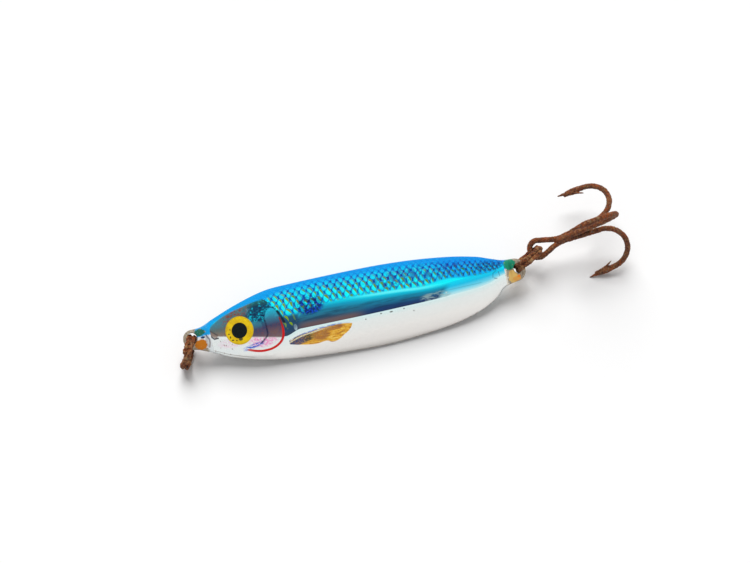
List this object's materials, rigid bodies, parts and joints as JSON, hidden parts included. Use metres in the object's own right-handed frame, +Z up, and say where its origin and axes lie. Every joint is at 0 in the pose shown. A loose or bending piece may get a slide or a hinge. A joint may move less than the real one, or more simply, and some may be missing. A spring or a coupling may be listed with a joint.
{
  "type": "fishing lure",
  "caption": "Cast metal fish-shaped lure with a glossy painted flank, a rusty split ring at its nose and a rusty treble hook hung on a ring at its tail.",
  "frame": {"origin": "on the ground under the middle of the whole lure as it lies", "axes": "+X from the fish's nose towards its tail and the hook, +Y towards the fish's back, +Z up"},
  "size_m": [0.0996, 0.0238, 0.0198],
  "materials": {
    "fish_paint": "glossy foil with blue scales above and mirror silver below, worn to bare metal at both ends",
    "rusty_ring": "flaking brown rust over steel wire",
    "rusty_hook": "pitted brown rust over steel wire"
  },
  "bodies": {
    "root": {"lure_body": "fish_paint", "nose_split_ring": "rusty_ring", "tail_split_ring": "rusty_ring", "treble_hook": "rusty_hook"}
  },
  "joints": []
}
